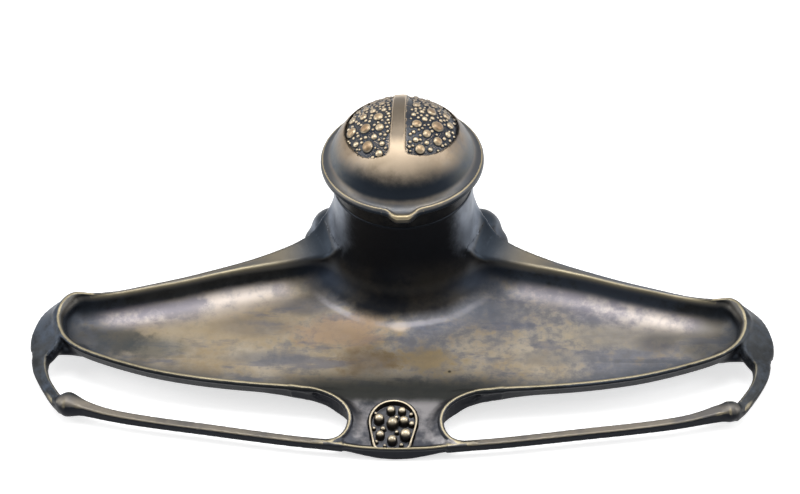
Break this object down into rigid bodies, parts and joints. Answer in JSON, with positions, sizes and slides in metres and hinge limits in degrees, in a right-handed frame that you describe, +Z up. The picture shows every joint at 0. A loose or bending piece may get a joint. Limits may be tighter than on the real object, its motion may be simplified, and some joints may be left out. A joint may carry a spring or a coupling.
{
  "type": "desk inkstand",
  "caption": "Cast bronze desk inkstand: crescent pen tray with bead rim, slender front rails, and a flared neck holding a glass ink pot under a hinged domed lid.",
  "frame": {"origin": "on the desk under the middle of the well, at the underside of the well's felt", "axes": "+X along the tray to its right end, +Y to the back, +Z up"},
  "size_m": [0.3184, 0.1531, 0.0908],
  "materials": {
    "bronze_tray": "aged bronze patina, rubbed on the edges",
    "bronze_dark": "dark blue-grey bronze patina",
    "bronze_rubbed": "patina rubbed back to golden bronze on the raised parts",
    "brass_pin": "plain brass",
    "felt": "dark felt",
    "cork": "cork",
    "glass": "clear moulded glass"
  },
  "bodies": {
    "root": {"pen_tray": "bronze_tray", "left_arm": "bronze_dark", "right_arm": "bronze_dark", "left_rail": "bronze_tray", "right_rail": "bronze_tray", "front_bridge": "bronze_tray", "berry_inset": "bronze_rubbed", "well_neck": "bronze_dark", "left_rear_scroll": "bronze_dark", "right_rear_scroll": "bronze_dark", "mouth_ring": "bronze_dark", "hinge_bracket": "bronze_dark", "hinge_pin": "brass_pin", "base_plate": "bronze_tray", "base_plate_screws": "brass_pin", "felt_pads": "felt", "pot_cushion": "cork"},
    "lid": {"lid_shell": "bronze_tray", "lid_hinge_leaf": "bronze_dark", "left_pebble_inset": "bronze_rubbed", "right_pebble_inset": "bronze_rubbed"},
    "pot": {"ink_pot": "glass"}
  },
  "joints": [
    {"name": "lid_hinge", "type": "hinge", "parent": "root", "child": "lid", "pos_m": [0, 0.0342, 0.0606], "axis": [-1, 0, 0], "range_deg": [0, 105]},
    {"name": "pot_lift", "type": "slide", "parent": "root", "child": "pot", "axis": [0, 0, 1], "range_m": [0, 0.014]}
  ]
}
